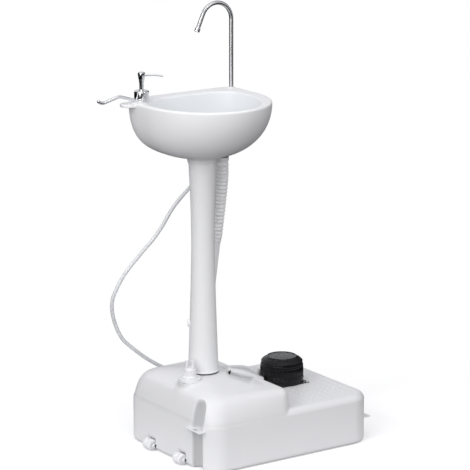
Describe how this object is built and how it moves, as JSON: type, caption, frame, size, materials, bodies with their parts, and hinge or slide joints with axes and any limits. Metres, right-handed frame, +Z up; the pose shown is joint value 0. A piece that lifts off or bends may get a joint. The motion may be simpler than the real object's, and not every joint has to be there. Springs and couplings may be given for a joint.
{
  "type": "folding camp wash stand",
  "caption": "Free-standing camp wash stand: water tank with foot pump, hollow pedestal, basin with gooseneck tap, soap pump, towel hook and drain hose.",
  "frame": {"origin": "The middle of the tank's underside, at floor level.", "axes": "+X runs along the tank to the right, towards the foot pump; +Y points to the back of the basin, away from the user; +Z is up."},
  "size_m": [0.5991, 0.3732, 1.0097],
  "materials": {
    "moulded_white": "satin blow-moulded white",
    "white_fitting": "smooth moulded white",
    "pump_black": "semi-gloss moulded black",
    "bellows_rubber": "soft black rubber",
    "seal_rubber": "dark grey rubber",
    "hose_white": "milky flexible plastic",
    "hose_clear": "translucent flexible plastic",
    "bottle_clear": "translucent blown plastic",
    "steel": "polished stainless steel",
    "chrome": "bright plating"
  },
  "bodies": {
    "stand": {"tank_shell": "moulded_white", "filler_gasket": "seal_rubber", "filler_ring": "white_fitting", "wheel_pins": "steel", "pump_base": "pump_black", "pump_bellows": "bellows_rubber", "pump_spring": "steel", "pump_valves": "seal_rubber", "pump_screws": "steel", "pump_feed_hose": "hose_white", "hose_grommet": "seal_rubber", "pickup_tube": "hose_white", "pickup_strainer": "white_fitting", "pump_outlet_elbow": "white_fitting", "supply_hose": "hose_clear", "pedestal": "moulded_white", "basin_shell": "moulded_white", "tap_bush": "white_fitting", "tap_nut": "white_fitting", "tap_barb": "white_fitting", "tap_seal": "seal_rubber", "drain_strainer": "chrome", "drain_gasket": "seal_rubber", "drain_nut": "white_fitting", "drain_hose": "hose_white", "drain_cuff": "hose_white", "soap_collar": "chrome", "soap_barrel": "white_fitting", "soap_spring": "steel", "soap_bottle": "bottle_clear", "soap_dip_tube": "bottle_clear"},
    "back_wheel": {"wheel_back": "white_fitting"},
    "front_wheel": {"wheel_front": "white_fitting"},
    "stopper": {"filler_stopper": "white_fitting"},
    "tread": {"pump_cap": "pump_black"},
    "spout": {"tap_spout": "steel", "tap_aerator": "chrome"},
    "soap_plunger": {"soap_stem": "steel"},
    "soap_press_head": {"soap_head": "chrome"},
    "towel_hook": {"towel_arm": "chrome"}
  },
  "joints": [
    {"name": "wheel_back_spin", "type": "hinge", "parent": "stand", "child": "back_wheel", "pos_m": [-0.23, 0.062, 0.0127], "axis": [0, 1, 0], "continuous": true},
    {"name": "wheel_front_spin", "type": "hinge", "parent": "stand", "child": "front_wheel", "pos_m": [-0.23, -0.062, 0.0127], "axis": [0, 1, 0], "continuous": true},
    {"name": "stopper_lift", "type": "slide", "parent": "stand", "child": "stopper", "axis": [0, 0, 1], "range_m": [0, 0.04]},
    {"name": "pump_press", "type": "slide", "parent": "stand", "child": "tread", "axis": [0, 0, -1], "range_m": [0, 0.016], "stiffness_N_per_m": 1200, "springref_m": -0.005, "deforming": ["pump_bellows", "pump_spring"]},
    {"name": "tap_swivel", "type": "hinge", "parent": "stand", "child": "spout", "pos_m": [0.009, 0.084, 0.808], "axis": [0, 0, 1], "range_deg": [-90, 90]},
    {"name": "soap_press", "type": "slide", "parent": "stand", "child": "soap_plunger", "axis": [0, 0, -1], "range_m": [0, 0.012], "stiffness_N_per_m": 150, "springref_m": -0.01, "deforming": ["soap_spring"]},
    {"name": "soap_turn", "type": "hinge", "parent": "soap_plunger", "child": "soap_press_head", "pos_m": [-0.246, 0.06, 0.87], "axis": [0, 0, 1], "continuous": true},
    {"name": "towel_swing", "type": "hinge", "parent": "stand", "child": "towel_hook", "pos_m": [-0.246, 0.06, 0.8092], "axis": [0, 0, 1], "range_deg": [-60, 75]}
  ]
}
